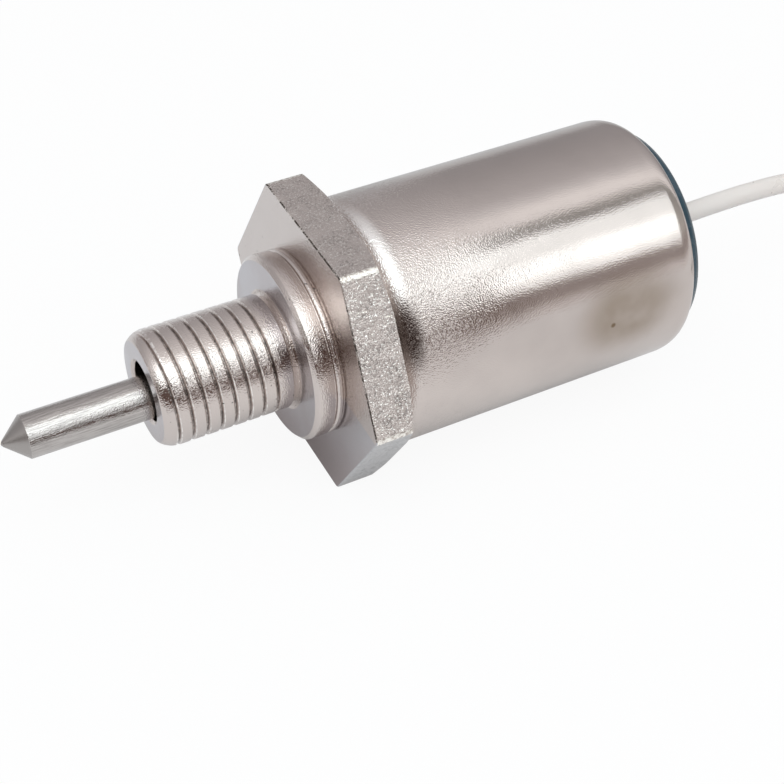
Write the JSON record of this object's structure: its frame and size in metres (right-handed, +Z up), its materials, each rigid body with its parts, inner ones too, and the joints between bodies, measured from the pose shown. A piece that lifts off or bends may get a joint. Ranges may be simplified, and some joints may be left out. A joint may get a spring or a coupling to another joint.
{
  "type": "fuel shutoff solenoid",
  "caption": "Nickel plated fuel shutoff solenoid: loose conical needle in a threaded nose, sealing collar, spanner hexagon, drawn round can with potted rear, and a single insulated lead",
  "frame": {"origin": "middle of the base of the solenoid's box, without its lead, where one flat of the hexagon lies on the surface", "axes": "+X along the axis from the needle to the lead, +Z up out of the flat opposite the one that it lies on"},
  "size_m": [0.1135, 0.0535, 0.0238],
  "materials": {
    "nickel_plate": "nickel plate over turned, milled and drawn steel",
    "ground_steel": "centreless ground, bright",
    "soft_iron": "turned",
    "zinc_steel": "zinc plate",
    "brass": "drawn",
    "enamelled_copper": "enamelled copper wire",
    "tinned_brass": "tin plate over brass",
    "spring_wire": "drawn spring wire",
    "bobbin_nylon": "moulded nylon",
    "winding_tape": "polyester film",
    "fibre_board": "punched fibre",
    "seal_rubber": "moulded rubber",
    "potting_epoxy": "poured, dark blue",
    "lead_insulation": "pale insulation with a sheen",
    "sleeve_vinyl": "soft vinyl",
    "tie_vinyl": "soft vinyl"
  },
  "bodies": {
    "housing": {"threaded_body": "nickel_plate", "can": "nickel_plate", "tube_seal": "seal_rubber", "guide_tube": "brass", "pole_piece": "soft_iron", "shim_ring": "brass", "bobbin": "bobbin_nylon", "coil_winding": "enamelled_copper", "coil_tape": "winding_tape", "rear_plate": "zinc_steel", "earth_lug": "tinned_brass", "earth_tail": "enamelled_copper", "live_tail": "enamelled_copper", "insulating_disc": "fibre_board", "splice_barrel": "tinned_brass", "potting": "potting_epoxy", "lead_wire": "lead_insulation", "lead_coil": "lead_insulation", "lead_tail": "lead_insulation", "wire_tie": "tie_vinyl", "terminal_sleeve": "sleeve_vinyl", "bullet_terminal": "tinned_brass"},
    "plunger": {"armature": "soft_iron", "needle": "ground_steel", "return_spring": "spring_wire"}
  },
  "joints": [
    {"name": "plunger_slide", "type": "slide", "parent": "housing", "child": "plunger", "axis": [1, 0, 0], "range_m": [0, 0.003], "stiffness_N_per_m": 250, "springref_m": -0.004, "deforming": ["return_spring"]}
  ]
}
